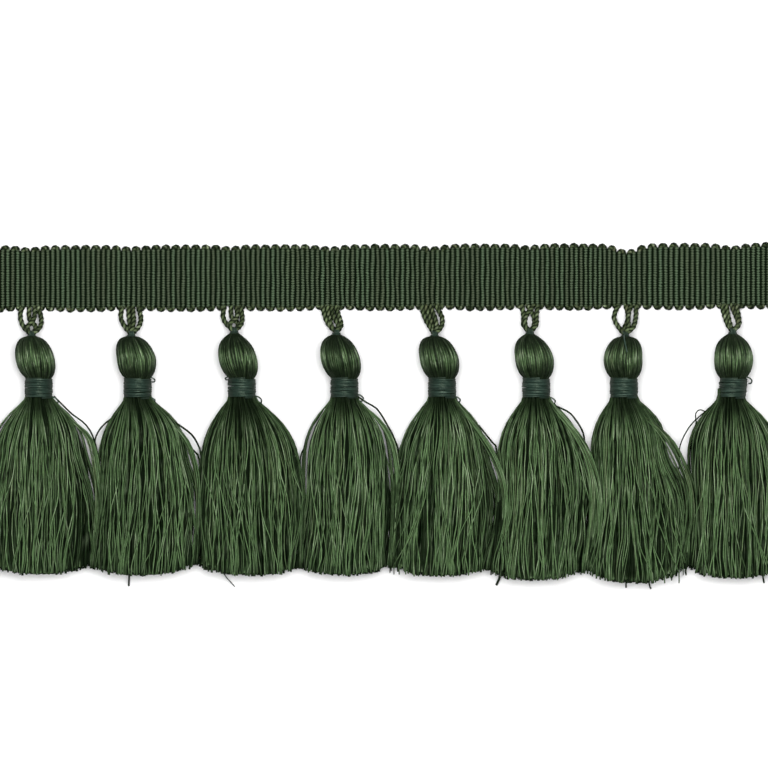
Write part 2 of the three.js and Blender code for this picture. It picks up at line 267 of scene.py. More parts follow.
RIBS = round(HEADING_LENGTH / RIB_PITCH)
PULL_REACH = 2.6
SHIFT_REACH = 9.0
WARP_HALF_HEIGHT = 7.2
HEADING_RISE = 0.7
EDGE_SWELL = 0.35


def bell(distance, reach):
    return np.exp(-((distance / reach) ** 2) / 2)


def mix(a, b, share):
    return a + (b - a) * share


def as_share(number):
    """The number, or 0 below 0 and 1 above 1."""
    return np.clip(number, 0, 1)


def tassel_middle(index):
    return (index + 0.5) * TASSEL_PITCH - HEADING_LENGTH / 2


def drawn_x(x):
    """Where a point of the even tape lies once the tassels have drawn its ribs sideways."""
    return x + sum(t.shift * bell(x - tassel_middle(i), SHIFT_REACH) for i, t in enumerate(TASSELS))


def upper_edge(x):
    pull = sum(t.pull * bell(x - tassel_middle(i), PULL_REACH) for i, t in enumerate(TASSELS))
    return HEADING_RISE * x / HEADING_LENGTH + WARP_HALF_HEIGHT - pull


def lower_edge(x):
    swell = EDGE_SWELL * (1 - np.cos(2 * np.pi * (x - tassel_middle(0)) / TASSEL_PITCH)) / 2
    return HEADING_RISE * x / HEADING_LENGTH - WARP_HALF_HEIGHT - swell


print(RIBS, "ribs,", len(TASSELS), "tassels")

# %% [markdown]
# ## A tool that turns lines into yarn
#
# Nearly everything here is thread. A thread could be a cylinder bent by hand, but there are several
# thousand, so they are drawn as lines of points and swept with Geometry Nodes: a small round section
# follows every line, as thick as each point says. The lines carry three numbers that the finishes
# read: `lot`, different for each yarn, `reach`, the distance along it, and `dim`, how much
# painted shade darkens it there. The section gives `around`, the way round the yarn, from its inner
# side at 0 to its crest at 0.5, which faces out of the bundle; the finishes paint shade on the sides
# from it.


# %% Working on a mesh
def choose(*pieces):
    """Deselects everything else, and makes the first of these the active one."""
    bpy.ops.object.select_all(action="DESELECT")
    for piece in pieces:
        piece.select_set(True)
    bpy.context.view_layer.objects.active = pieces[0]


def points_of(piece):
    """The places of a mesh's vertices, in millimetres."""
    places = np.zeros(3 * len(piece.data.vertices))
    piece.data.vertices.foreach_get("co", places)
    return places.reshape(-1, 3) / MM


def set_points(piece, points):
    piece.data.vertices.foreach_set("co", (points * MM).ravel())
    piece.data.update()


def set_values(piece, **values):
    """Numbers at the vertices, which the finishes read."""
    for name, numbers in values.items():
        made = piece.data.attributes.new(name, "FLOAT", "POINT").data
        made.foreach_set("value", numbers + np.zeros(len(made)))


# %% Sweeping a section along lines
def sweep_tree(sides):
    """A node tree that sweeps a round section with this many sides along every line of a mesh."""
    tree = bpy.data.node_groups.new(f"sweep_{sides}", "GeometryNodeTree")
    for direction in ("INPUT", "OUTPUT"):
        tree.interface.new_socket("Geometry", in_out=direction, socket_type="NodeSocketGeometry")
    graph = Graph(tree)
    lines = graph.node("NodeGroupInput")
    thick = graph.node("GeometryNodeInputNamedAttribute", {"data_type": "FLOAT"}, {"Name": "thick"})
    inward = graph.node("GeometryNodeInputNamedAttribute", {"data_type": "FLOAT_VECTOR"}, {"Name": "inward"})
    curves = graph.node("GeometryNodeMeshToCurve", {}, {"Mesh": lines})
    curves = graph.node("GeometryNodeSetCurveNormal", {"mode": "FREE"}, {"Curve": curves, "Normal": inward})
    circle = graph.node("GeometryNodeCurvePrimitiveCircle", {}, {"Resolution": sides, "Radius": 1.0})
    turn = graph.node("GeometryNodeSplineParameter", output="Factor")
    stored = {"Geometry": circle, "Name": "around", "Value": turn}
    section = graph.node("GeometryNodeStoreNamedAttribute", {"data_type": "FLOAT"}, stored)
    swept = {"Curve": curves, "Profile Curve": section, "Scale": thick, "Fill Caps": True}
    tubes = graph.node("GeometryNodeCurveToMesh", {}, swept)
    smooth = graph.node("GeometryNodeSetShadeSmooth", {}, {"Geometry": tubes, "Shade Smooth": True})
    graph.node("NodeGroupOutput", {}, {"Geometry": smooth})
    return tree


def arc_lengths(points):
    steps = np.linalg.norm(np.diff(points, axis=0), axis=1)
    return np.concatenate([[0.0], np.cumsum(steps)])


Strand = namedtuple("Strand", "points thick lot dim out", defaults=(0.0, (0.0, 0.0, 1.0)))


def squared(strand):
    """The way out from the bundle at each point, turned square to the strand."""
    ahead = np.gradient(strand.points, axis=0)
    ahead /= np.linalg.norm(ahead, axis=1)[:, None]
    out = np.broadcast_to(strand.out, strand.points.shape) + (0.0, 1e-4, 2e-4)
    out = out - ahead * (out * ahead).sum(1)[:, None]
    return out / np.linalg.norm(out, axis=1)[:, None]


def spin_yarn(name, strands, sides):
    """A mesh object of round strands, given in millimetres, with its place in its mesh."""

    def every(number_of):
        return np.concatenate([np.broadcast_to(number_of(s), len(s.points)) for s in strands])

    points = np.concatenate([s.points for s in strands])
    last = np.cumsum([len(s.points) for s in strands]) - 1
    first = np.setdiff1d(np.arange(len(points)), last)
    mesh = bpy.data.meshes.new(name)
    mesh.from_pydata(points * MM, np.stack([first, first + 1], 1).tolist(), [])
    piece = bpy.data.objects.new(name, mesh)
    bpy.context.collection.objects.link(piece)
    set_values(
        piece,
        thick=every(lambda s: s.thick) * MM,
        lot=every(lambda s: s.lot),
        reach=every(lambda s: arc_lengths(s.points)),
        dim=every(lambda s: s.dim),
    )
    inward = -np.concatenate([squared(s) for s in strands])
    mesh.attributes.new("inward", "FLOAT_VECTOR", "POINT").data.foreach_set("vector", inward.ravel())
    choose(piece)
    piece.modifiers.new("sweep", "NODES").node_group = SWEEPS[sides]
    bpy.ops.object.modifier_apply(modifier="sweep")
    return piece


SWEEPS = {sides: sweep_tree(sides) for sides in (4, 5, 6)}


# %% Smooth lines and twisted plies
FULL_TURN = 6.28  # in radians, for the angles that are drawn at random


def columns(*values):
    """Points from their x, y and z, where one number can stand for a whole column."""
    return np.column_stack(np.broadcast_arrays(*values))


def spoke(angle):
    """The way out at an angle round a line that runs along Y."""
    return columns(np.cos(angle), 0, np.sin(angle))


def smooth_line(knots, count):
    """A Catmull-Rom curve through the knots, as evenly spaced points."""
    k = np.array(knots, float)
    k = np.vstack([2 * k[0] - k[1], k, 2 * k[-1] - k[-2]])
    t = np.linspace(0, 1, 24, endpoint=False)[:, None]
    pieces = []
    for a, b, c, d in zip(k[:-3], k[1:-2], k[2:-1], k[3:]):
        bent, twisted = 2 * a - 5 * b + 4 * c - d, 3 * b - a - 3 * c + d
        pieces.append(0.5 * (2 * b + (c - a) * t + bent * t**2 + twisted * t**3))
    fine = np.vstack([*pieces, k[-2:-1]])
    along = arc_lengths(fine)
    even = np.linspace(0, along[-1], count)
    return np.stack([np.interp(even, along, fine[:, i]) for i in range(3)], 1)


def across_line(points):
    """Two directions square to the line at each point, carried along it without twist."""
    ahead = np.gradient(points, axis=0)
    ahead /= np.linalg.norm(ahead, axis=1)[:, None]
    side = np.cross(ahead[0], [0.0, 0.3, 1.0])
    sides = []
    for direction in ahead:
        side = side - direction * (side @ direction)
        side /= np.linalg.norm(side)
        sides.append(side)
    sides = np.array(sides)
    return sides, np.cross(ahead, sides)


def twist_plies(points, plies, offset, lay, thick, lots, start):
    """Strands that wind round a line, one turn in each lay, as the plies of a cord do. They get painted
    shade where they dive under each other at the sides and below, and keep their light only on top."""
    side, up = across_line(points)
    turned = 2 * np.pi * arc_lengths(points) / lay + start
    strands = []
    for ply in range(plies):
        angle = (turned + 2 * np.pi * ply / plies)[:, None]
        out = np.cos(angle) * side + np.sin(angle) * up
        # Painted shade: a ply is dark unless it faces up.
        dim = 0.98 * (1 - as_share(out[:, 2]) ** 2)
        strands.append(Strand(points + offset * out, thick, lots[ply], dim, out))
    return strands


# %% [markdown]
# ## Fixing a finished piece to the frame
#
# Every piece rides on the model's one body, stands for the solids that it dresses, and takes one of
# the finishes made here.

# %% Fixing a piece
counted = {}


def fix(piece, material, nodes):
    piece.data.materials.clear()
    piece.data.materials.append(material)
    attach(piece, "root")
    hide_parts(*nodes)
    counted[piece.name] = sum(len(face.vertices) - 2 for face in piece.data.polygons)
    print(piece.name, counted[piece.name], "triangles")


# %% [markdown]
# ## Finishes
#
# The heading is matt corded cloth, with painted shade in the valleys between its ribs. The tassels
# are rayon floss, which is glossy, so it is bright where it faces the lamp and nearly black in the
# gaps; painted highlight streaks and painted shade on the sides of each yarn add to both. The binding
# is a fine blue-green thread.

# %% Finish of the heading
WARP_PITCH = 0.62


def warp_tick(g):
    """The fine warp threads, side by side along each rib, a little uneven."""
    x, y = g.spot()
    wander = g.noise(x * 0.8, y * 0.5) * 9
    return (y * (2 * np.pi / WARP_PITCH) + wander).sine() * 0.5 + 0.5


def rib_colour(g):
    x, y = g.spot()
    lot, aside = g.read("lot"), g.read("aside")
    hue = g.blend(lot, (0.072, 0.096, 0.056), (0.062, 0.096, 0.054))
    patch = g.noise(x * 0.11, y * 0.05)
    hue = g.blend(patch.between(0.5, 0.72) * 0.5, hue, (0.070, 0.092, 0.050))
    threads = g.noise(x * 1.3, y * 3.4)
    tick = warp_tick(g)
    hue = g.dimmed(hue, (0.02 + 1.15 * threads + 0.6 * tick) * (0.85 + 0.3 * lot))
    # Painted shade: the valleys between the ribs are painted nearly black.
    painted_valley_shade = (aside + 0.25 * threads - 0.5 * tick).between(0.16, 0.46)
    return g.blend(painted_valley_shade, hue, (0.0012, 0.0065, 0.0006))


def rib_height(g):
    x, y = g.spot()
    return warp_tick(g) + g.noise(x * 2.0, y * 6.0)


heading_cloth = finish(
    "heading_cloth",
    rib_colour,
    lambda g: 0.62 + 0.2 * g.read("aside") + 0.1 * g.noise(*g.spot(), scale=2.0),
    rib_height,
    0.05,
    Specular_IOR_Level=0.1,
)


# %% Finishes of the yarns
def yarn_finish(name, deep, light, painted_highlight, gloss, streaks, filaments, edge, **constants):
    """deep to light from lot to lot, with painted highlight streaks along the yarn, and painted shade where
    it turns under and where it lies in the shade of other things.
    """

    def colour(g):
        lot, reach, around = g.read("lot"), g.read("reach"), g.read("around")
        body = g.blend(lot, deep, light)
        streak = g.noise(reach * streaks, lot * 91.7)
        # Painted highlight streaks along the yarn, and dark streaks beside them.
        body = g.blend(streak.between(0.50, 0.76) * (0.2 + 0.7 * lot), body, painted_highlight)
        body = g.blend((0.46 - streak).between(0.0, 0.14) * 0.6, body, deep)
        dyed = g.noise(lot * 53.0, reach * 0.02, 4.0).between(0.55, 0.75)
        body = g.blend(dyed * 0.35, body, (light[0] * 1.2, light[1] * 0.85, light[2]))
        grain = g.noise(reach * 1.5, lot * 213.0, 9.0)
        # Painted shade on the sides and underside of each yarn, as strong as edge says; the crest keeps its
        # light.
        painted_crest_light = (0.0 - (around * (2 * np.pi)).cosine()).clamp()
        body = g.dimmed(body, (0.5 + grain) * ((1 - edge) + edge * painted_crest_light))
        # Painted shade: the colour goes towards near-black as far as dim says.
        return g.blend(g.read("dim"), body, (0.0015, 0.0048, 0.0010))

    def roughness(g):
        uneven = g.noise(g.read("reach") * 0.5, g.read("lot") * 37.0)
        return gloss + 0.12 * uneven + 0.4 * g.read("dim")

    def height(g):
        turn = g.read("around") * (2 * np.pi * filaments) + g.read("reach") * 2.2
        return turn.sine()

    return finish(name, colour, roughness, height, 0.012, Specular_Tint=(0.80, 1.0, 0.72, 1.0), **constants)


# Each finish's colours: deep, light, and the painted highlight of its streaks.
FLOSS_COLOURS = ((0.0010, 0.007, 0.0003), (0.132, 0.230, 0.096), (0.310, 0.410, 0.245))
skirt_floss = yarn_finish("skirt_floss", *FLOSS_COLOURS, 0.38, 0.14, 4, 0.97, Specular_IOR_Level=0.1)
HEAD_COLOURS = ((0.002, 0.009, 0.0008), (0.118, 0.202, 0.084), (0.330, 0.425, 0.262))
head_floss = yarn_finish("head_floss", *HEAD_COLOURS, 0.34, 0.45, 3, 0.85, Specular_IOR_Level=0.2)
CORD_COLOURS = ((0.006, 0.011, 0.002), (0.160, 0.215, 0.100), (0.42, 0.49, 0.31))
loop_cord = yarn_finish("twisted_cord", *CORD_COLOURS, 0.5, 0.9, 3, 0.94, Specular_IOR_Level=0.15)
THREAD_COLOURS = ((0.008, 0.020, 0.015), (0.027, 0.055, 0.043), (0.078, 0.124, 0.100))
binding_thread = yarn_finish("binding_thread", *THREAD_COLOURS, 0.36, 0.12, 3, 0.8, Specular_IOR_Level=0.45)

# %% [markdown]
# ## The heading's ribs
#
# One stout cord is laid up and down across the tape and covered by fine warp threads, so each pass of
# it stands up as a rib on both faces. It could be one wavy sheet, but a rib is easy to shape by
# itself: a tube whose lower half is taken away makes the face, a flatter copy makes the back, and the
# pair is repeated along the tape, joined, and closed round its edge. Then the tape is drawn out of
# true, as the tassels pull it.

# %% One rib
RIB_CREST = 1.5
FACE_ARCH = 0.66  # how far a rib's crest stands above the valleys
VALLEY = RIB_CREST - FACE_ARCH
BACK_ARCH = 0.4
BACK_CLEARANCE = 0.02
RIB_ROWS = 14


def edit_all():
    """Goes to edit mode with the whole mesh selected."""
    bpy.ops.object.mode_set(mode="EDIT")
    bpy.ops.mesh.select_all(action="SELECT")


def leave_edit():
    bpy.ops.object.mode_set(mode="OBJECT")


bpy.ops.object.select_all(action="DESELECT")
tube = {"radius": RIB_PITCH / 2 * MM, "depth": 2 * WARP_HALF_HEIGHT * MM, "end_fill_type": "NOTHING"}
bpy.ops.mesh.primitive_cylinder_add(vertices=16, rotation=(np.pi / 2, 0, 0), **tube)
heading = bpy.context.object
heading.name = "heading_ribs"
bpy.ops.object.transform_apply()
edit_all()
bpy.ops.transform.resize(value=(1, 1, FACE_ARCH / (RIB_PITCH / 2)))
bpy.ops.mesh.select_mode(type="VERT")
bpy.ops.mesh.select_all(action="DESELECT")
leave_edit()
for vertex in heading.data.vertices:
    vertex.select = vertex.co.z < -0.001 * MM
bpy.ops.object.mode_set(mode="EDIT")
bpy.ops.mesh.delete(type="VERT")
bpy.ops.mesh.select_all(action="SELECT")
bpy.ops.transform.translate(value=(0, 0, VALLEY * MM))
bpy.ops.mesh.duplicate()
flatter = BACK_ARCH / FACE_ARCH
bpy.ops.transform.resize(value=(1, 1, -flatter), center_override=(0, 0, 0))
bpy.ops.transform.translate(value=(0, 0, (RIB_CREST * flatter + BACK_CLEARANCE) * MM))
leave_edit()
print("a rib has", len(heading.data.polygons), "faces")

# %% Rows along the rib, and the row of ribs
MERGED = 0.01 * MM


def cut_across(levels):
    """Cuts a mesh into rows at these places along Y, in millimetres."""
    edit_all()
    for level in levels:
        bpy.ops.mesh.bisect(plane_co=(0, level * MM, 0), plane_no=(0, 1, 0))
        bpy.ops.mesh.select_all(action="SELECT")
    leave_edit()


cut_across(WARP_HALF_HEIGHT * np.sin(np.pi * (np.arange(1, RIB_ROWS) / RIB_ROWS - 0.5)))
array = heading.modifiers.new("ribs", "ARRAY")
array.count = RIBS
array.use_relative_offset = False
array.use_constant_offset = True
array.constant_offset_displace = (RIB_PITCH * MM, 0, 0)
array.use_merge_vertices = True
array.merge_threshold = MERGED
bpy.ops.object.modifier_apply(modifier="ribs")
edit_all()
bpy.ops.mesh.remove_doubles(threshold=MERGED)
bpy.ops.mesh.select_all(action="DESELECT")
bpy.ops.mesh.select_mode(type="EDGE")
only_open = dict.fromkeys(("use_wire", "use_multi_face", "use_non_contiguous", "use_verts"), False)
bpy.ops.mesh.select_non_manifold(extend=False, use_boundary=True, **only_open)
bpy.ops.mesh.bridge_edge_loops()
bpy.ops.mesh.select_all(action="SELECT")
bpy.ops.mesh.normals_make_consistent(inside=False)
leave_edit()
print("the tape has", len(heading.data.polygons), "faces")

# %% Drawing the tape out of true
# How far a rib waves sideways, and each wave's pace along x and y and its start.
WANDER, WAVES = 0.05, ((0.9, 0.35, 1.0), (2.3, 0.6, 2.0), (0.31, 0.9, 4.0))
CREST_UNEVEN = 0.05
EDGE_DIP, EDGE_ROUND = 0.3, 0.25  # the crests sink this far, this near the edges
points = points_of(heading)
flat_x = points[:, 0] - HEADING_LENGTH / 2 + RIB_PITCH / 2
share = points[:, 1] / (2 * WARP_HALF_HEIGHT) + 0.5
rib = np.clip(np.floor((flat_x + HEADING_LENGTH / 2) / RIB_PITCH - 1e-4), 0, RIBS - 1).astype(int)
seeded = np.random.default_rng(7)
weave_lot = seeded.random(RIBS)
crest_lift = CREST_UNEVEN * seeded.standard_normal(RIBS)
wander = sum(WANDER * np.sin(flat_x * kx + points[:, 1] * ky + start) for kx, ky, start in WAVES)
lift = as_share((points[:, 2] - VALLEY) / FACE_ARCH)
end = as_share((np.abs(points[:, 1]) - WARP_HALF_HEIGHT + EDGE_ROUND) / EDGE_ROUND)
points[:, 2] += crest_lift[rib] * lift - EDGE_DIP * lift * end
points[:, 0] = drawn_x(flat_x) + wander * (1 - 0.8 * np.abs(flat_x) / (HEADING_LENGTH / 2))
points[:, 1] = mix(lower_edge(flat_x), upper_edge(flat_x), share)
set_points(heading, points)
aside = 2 * np.abs((flat_x + HEADING_LENGTH / 2) / RIB_PITCH - rib - 0.5)
set_values(heading, lot=weave_lot[rib], aside=as_share(aside))
choose(heading)
bpy.ops.object.shade_smooth_by_angle(angle=np.radians(60))
fix(heading, heading_cloth, ["heading"])

# %% [markdown]
# ## The turns along both edges
#
# At an edge the weft cord comes out bare from one rib, turns, and goes back in as the next. The
# turns are one row of short arches of three-ply cord, and the lower row is one rib out of step with
# the upper one. The lower row leaves out the turn under each tassel, where the legs of its loops
# come out. All arches have the same shape, so each is that shape, set down at its own place, size
# and twist.

# %% The turns
TURN_LINE = (
    (-0.56, -0.9, 0.78), (-0.62, -0.2, 0.75), (-0.54, 0.22, 0.73), (-0.22, 0.5, 0.72), (0.22, 0.5, 0.72),
    (0.54, 0.22, 0.73), (0.62, -0.2, 0.75), (0.56, -0.9, 0.78),
)
PLIES = 3
PLY_OFFSET, PLY_THICK, TURN_LAY = 0.31, 0.36, 3.4
# The edge, the way out of it, the turns' size and the first rib that turns.
EDGES = ((upper_edge, 1, 1.0, 0), (lower_edge, -1, 0.9, 1))
turn_line = smooth_line(TURN_LINE, 13)
seeded = np.random.default_rng(11)
turns = []
for edge, outward, usual_size, first in EDGES:
    for rib in range(first, RIBS - first, 2):
        middle = (rib + 1) * RIB_PITCH - HEADING_LENGTH / 2
        from_tassel = min(abs(middle - tassel_middle(i)) for i in range(len(TASSELS)))
        if outward < 0 and from_tassel < 2 * RIB_PITCH:
            continue
        size = usual_size + 0.06 * seeded.standard_normal()
        line = turn_line * (1, outward * size, 1)
        line = line + (drawn_x(middle), edge(middle) + 0.04 * seeded.standard_normal(), 0)
        lots = 0.05 + 0.45 * seeded.random(PLIES)
        start = FULL_TURN * seeded.random()
        turns += twist_plies(line, PLIES, PLY_OFFSET, TURN_LAY * outward, PLY_THICK, lots, start)
edge_turns = spin_yarn("heading_turns", turns, 5)
fix(edge_turns, loop_cord, ["heading"])

# %% [markdown]
# ## The hanging loops
#
# Under each tassel the cord is left long, as two loops that hang side by side, lean together and
# cross. Their tips are held by the tie. Each is a line through a few places, from the heading down
# its outer leg, round the tip and up its inner leg, and three plies wind round that line. The plies
# start inside the heading, so that they come out of it with no gap.

# %% Loops
KNOT_Z = 3.9
CORD_MIDDLE_Z = 0.84
TIP_APART = 1.66
LOOP_OFFSET, LOOP_THICK, LOOP_LAY = 0.315, 0.365, 4.0

# Where the tie holds the tips, and how far to the right of it each leg lies at the heading, at
# mid-height and just above the tie.
LoopPlan = namedtuple("LoopPlan", "tie_y outer_left inner_left inner_right outer_right")
LOOPS = (
    LoopPlan(-14.15, (-2.7, -2.8, -1.9), (-0.6, -0.6, 1), (0.7, 0.6, -1), (1.6, 2.4, 2.1)),
    LoopPlan(-14.15, (-2.4, -2.6, -1.5), (-0.8, -0.6, -0.3), (0.3, 0.6, 0.4), (1.7, 2.4, 1.8)),
    LoopPlan(-13.30, (-2.5, -2.8, -1.8), (-0.8, -0.7, 1), (0.5, 0.7, -1.1), (1.5, 2, 1.7)),
    LoopPlan(-13.70, (-3.4, -2.8, -1.7), (-2.3, -1.7, -1.2), (-1.2, -0.6, 0.55), (-0.1, 0.7, 1.2)),
    LoopPlan(-14.15, (-3.2, -2.4, -1.1), (-2.2, -1.1, -0.4), (-1, 0.1, 0.6), (0.4, 1.9, 1.7)),
    LoopPlan(-13.50, (-1.9, -1.5, -1.5), (-0.5, 1, 1.1), (0.9, -0.9, -1.1), (2, 1.7, 1.6)),
    LoopPlan(-14.25, (-1.7, -2.7, -1.6), (0.2, 0.9, 0), (1.5, 0.7, 0.9), (2.8, 2.7, 2)),
    LoopPlan(-13.50, (-2.5, -1.9, -1.1), (-1.5, -1, -0.5), (-0.2, 0.9, 1.4), (1, 1.6, 1.6)),
)


def loop_line(index, side):
    tassel, plan = TASSELS[index], LOOPS[index]
    start = lower_edge(tassel_middle(index)) - 0.1
    outer, inner = (plan.outer_left, plan.inner_left) if side < 0 else (plan.outer_right, plan.inner_right)

    def leg(places, aparts):
        downs = (-0.06, 0.0, 0.42, 0.76)
        return [
            (
                tassel.knot + place,
                mix(start, plan.tie_y, down),
                mix(CORD_MIDDLE_Z, KNOT_Z, max(down, 0)) + side * apart * TIP_APART / 2,
            )
            for down, place, apart in zip(downs, (places[0], *places), aparts)
        ]

    tip = (tassel.knot, plan.tie_y, KNOT_Z + side * TIP_APART / 2)
    knots = leg(outer, (0, 0, 0.35, 0.8)) + [tip] + leg(inner, (0, 0, 0.8, 1.02))[::-1]
    return smooth_line(knots, 84)


loop_length = 0.0
seeded = np.random.default_rng(23)
for index in range(len(TASSELS)):
    cords = []
    for side in (-1, 1):
        line = loop_line(index, side)
        loop_length = max(loop_length, arc_lengths(line)[-1])
        lots = (0.4 + 0.3 * seeded.random(), 0.6, 0.7 + 0.3 * seeded.random())
        start = FULL_TURN * seeded.random()
        cords += twist_plies(line, PLIES, LOOP_OFFSET, LOOP_LAY, LOOP_THICK, lots, start)
    number = index + 1
    loops = spin_yarn(f"loops_{number}", cords, 6)
    fix(loops, loop_cord, [f"loop_left_{number}", f"loop_right_{number}"])
print("the longest loop is", round(loop_length, 1), "mm of cord")

# %% [markdown]
# ## The ball heads
#
# The head is a hank of floss folded over the tie and drawn down over itself. Under the floss is a
# plain ball, made from a sphere. Over it lie the strands, from the pucker at the top, down the
# ball, to the neck, each a little thicker, higher or further round than an even spacing would put it.

# %% Shape of the head
# The level of each place on the head's outline, as y, and its radius there.
HEAD_OUTLINE = (
    (-14.4, 0.4), (-14.75, 1.4), (-15.2, 2.4), (-16.1, 3.5), (-18.1, 4.5), (-20.75, 4.88), (-23.2, 4.5),
    (-24.7, 3.7), (-25.5, 3.1), (-27.0, 2.9),
)
HEAD_TOP_Z, HEAD_MIDDLE_Z, NECK_MIDDLE_Z = 4.3, 4.76, 4.0
HEAD_TOP_Y, BINDING_TOP_Y, BINDING_BOTTOM_Y = -15.5, -25.1, -30.4
FLOSS = 116
# The head's painted light band is brightest at this level.
PAINTED_BAND_Y = -20.3  # where the head is brightest
BALL_Y, BALL_SIZE = -20.4, (4.4, 5.3, 4.35)
USUAL_TIE_Y = -13.95  # the outline's top follows a tie that lies higher or lower than this


def head_axis(tassel, y):
    """The middle of the head at each level, in x and z."""
    down = as_share((HEAD_TOP_Y - y) / (HEAD_TOP_Y - BINDING_TOP_Y))
    low_x = mix(tassel.head, tassel.neck, 2 * down - 1)
    x = np.where(down < 0.5, mix(tassel.knot, tassel.head, 2 * down), low_x)
    low_z = mix(HEAD_MIDDLE_Z, NECK_MIDDLE_Z, (2 * down - 1) ** 2)
    return x, np.where(down < 0.5, mix(HEAD_TOP_Z, HEAD_MIDDLE_Z, 2 * down), low_z)


outline = smooth_line([(y, radius, 0) for y, radius in HEAD_OUTLINE], 17)
print("the head's outline is", round(arc_lengths(outline)[-1], 1), "mm long")


# %% Floss of the head
def head_strands(tassel, tie_y, seeded):
    strands = []
    for number in range(FLOSS):
        angle = 2 * np.pi * (number + 0.7 * seeded.random()) / FLOSS
        bent = 0.05 * seeded.standard_normal()
        turn = angle + bent * np.sin(np.linspace(0, 3.0 + 3 * seeded.random(), len(outline)))
        y, radius = outline[:, 0], outline[:, 1]
        y = y + (tie_y - USUAL_TIE_Y) * bell(y - HEAD_OUTLINE[0][0], 0.5)
        thick = 0.17 + 0.08 * seeded.random()
        lay = np.maximum(radius - 0.2 - 0.2 * (number % 2) + 0.07 * seeded.standard_normal(), 0.12)
        x, z = head_axis(tassel, y)
        up = np.maximum(z + lay * np.sin(turn), thick + 0.03)
        spread = np.clip(radius / 4.0, 0.45, 1)
        # A painted light band across the middle of the head; above and below it the strands get painted
        # shade.
        painted_band_light = bell(y - PAINTED_BAND_Y + 0.5 * seeded.standard_normal(), 1.35)
        dim = 0.97 * (1 - painted_band_light) * (0.88 + 0.12 * seeded.random())
        # Every second strand lies a little deeper and is darker, as painted shade.
        lot = as_share((0.64 if number % 2 == 0 else 0.14) + 0.24 * seeded.standard_normal())
        points = columns(x + lay * np.cos(turn), y, up)
        strands.append(Strand(points, thick * spread, lot, dim, spoke(turn)))
    return strands


# %% The ball under the floss
def head_ball(tassel, name):
    bpy.ops.object.select_all(action="DESELECT")
    place = (tassel.head * MM, BALL_Y * MM, HEAD_MIDDLE_Z * MM)
    bpy.ops.mesh.primitive_uv_sphere_add(
        segments=32, ring_count=18, radius=MM, location=place, rotation=(np.pi / 2, 0, 0)
    )
    ball = bpy.context.object
    ball.name = name
    bpy.ops.object.transform_apply(location=False, rotation=True, scale=True)
    edit_all()
    bpy.ops.transform.resize(value=BALL_SIZE)
    leave_edit()
    bpy.ops.object.transform_apply()
    bpy.ops.object.shade_smooth()
    points = points_of(ball)
    levels = points[:, 1]
    points[:, 0] += head_axis(tassel, levels)[0] - tassel.head
    set_points(ball, points)
    # The ball under the floss gets painted shade, but for the painted light band.
    set_values(ball, lot=0.1, reach=0, dim=0.9 * (1 - bell(levels - PAINTED_BAND_Y, 1.6)), around=0.5)
    return ball


def joined(*pieces):
    """The pieces as one mesh, which keeps the first one's name."""
    choose(*pieces)
    bpy.ops.object.join()
    return pieces[0]


# %% Heads
seeded = np.random.default_rng(31)
for number, (tassel, plan) in enumerate(zip(TASSELS, LOOPS), 1):
    head = spin_yarn(f"head_{number}", head_strands(tassel, plan.tie_y, seeded), 5)
    head = joined(head, head_ball(tassel, f"ball_{number}"))
    fix(head, head_floss, [f"tassel_{number}"])

# %% [markdown]
# ## Ties and bindings
#
# The tie is a few turns of dark thread that hold the two loop tips and go down into the top of the
# head. The binding is the same thread, wound tightly round the neck and finished off at the side.
# Both are mostly lines that go round and round, worked out from an angle, with short lengths added.

# %% Tie
TIE_TURNS, TIE_THREAD, TIE_REACH = 3, 0.22, (0, 0.72, 1.62)  # its turns reach round the tips in y and z
COLLAR_TURNS, COLLAR_THREAD = 3, 0.2
STAYS, STAY_THREAD = 7, 0.24  # short lengths that go down into the head


def tie_strands(tassel, tie_y, seeded):
    lots = 0.3 + 0.6 * seeded.random(3)

    angle = np.linspace(-0.5 * np.pi, (2 * TIE_TURNS - 0.5) * np.pi, 16 * TIE_TURNS + 1)
    share = np.linspace(-1, 1, len(angle))
    out = columns(0.3 * share, np.cos(angle), np.sin(angle))
    middle = columns(tassel.knot + 0.62 * share + 0.12 * np.sin(angle), tie_y - 0.1, KNOT_Z)
    # The tie's threads carry painted shade: some on its turns, more on the collar and the stays.
    strands = [Strand(middle + out * TIE_REACH, TIE_THREAD, lots[0], 0.3, out)]

    angle = np.linspace(0, 2 * np.pi * COLLAR_TURNS, 18 * COLLAR_TURNS)
    share = np.linspace(0, 1, len(angle))
    middle = columns(tassel.knot, mix(tie_y - 0.35, tie_y - 1.0, share), HEAD_TOP_Z)
    collar = middle + mix(0.85, 1.1, share)[:, None] * spoke(angle)
    strands.append(Strand(collar, COLLAR_THREAD, lots[1], 0.5, spoke(angle)))

    for angle in np.arange(STAYS) * 2 * np.pi / STAYS:
        aside, up = np.cos(angle), np.sin(angle)
        top = np.array((tassel.knot + 0.3 * aside, tie_y - 0.2, 4.2 + 0.8 * up))
        low = np.array((tassel.knot + 0.5 * aside, HEAD_TOP_Y + 0.1, HEAD_TOP_Z + 0.6 * up))
        strands.append(Strand(np.array([top, (top + low) / 2, low]), STAY_THREAD, lots[2], 0.6))
    return strands


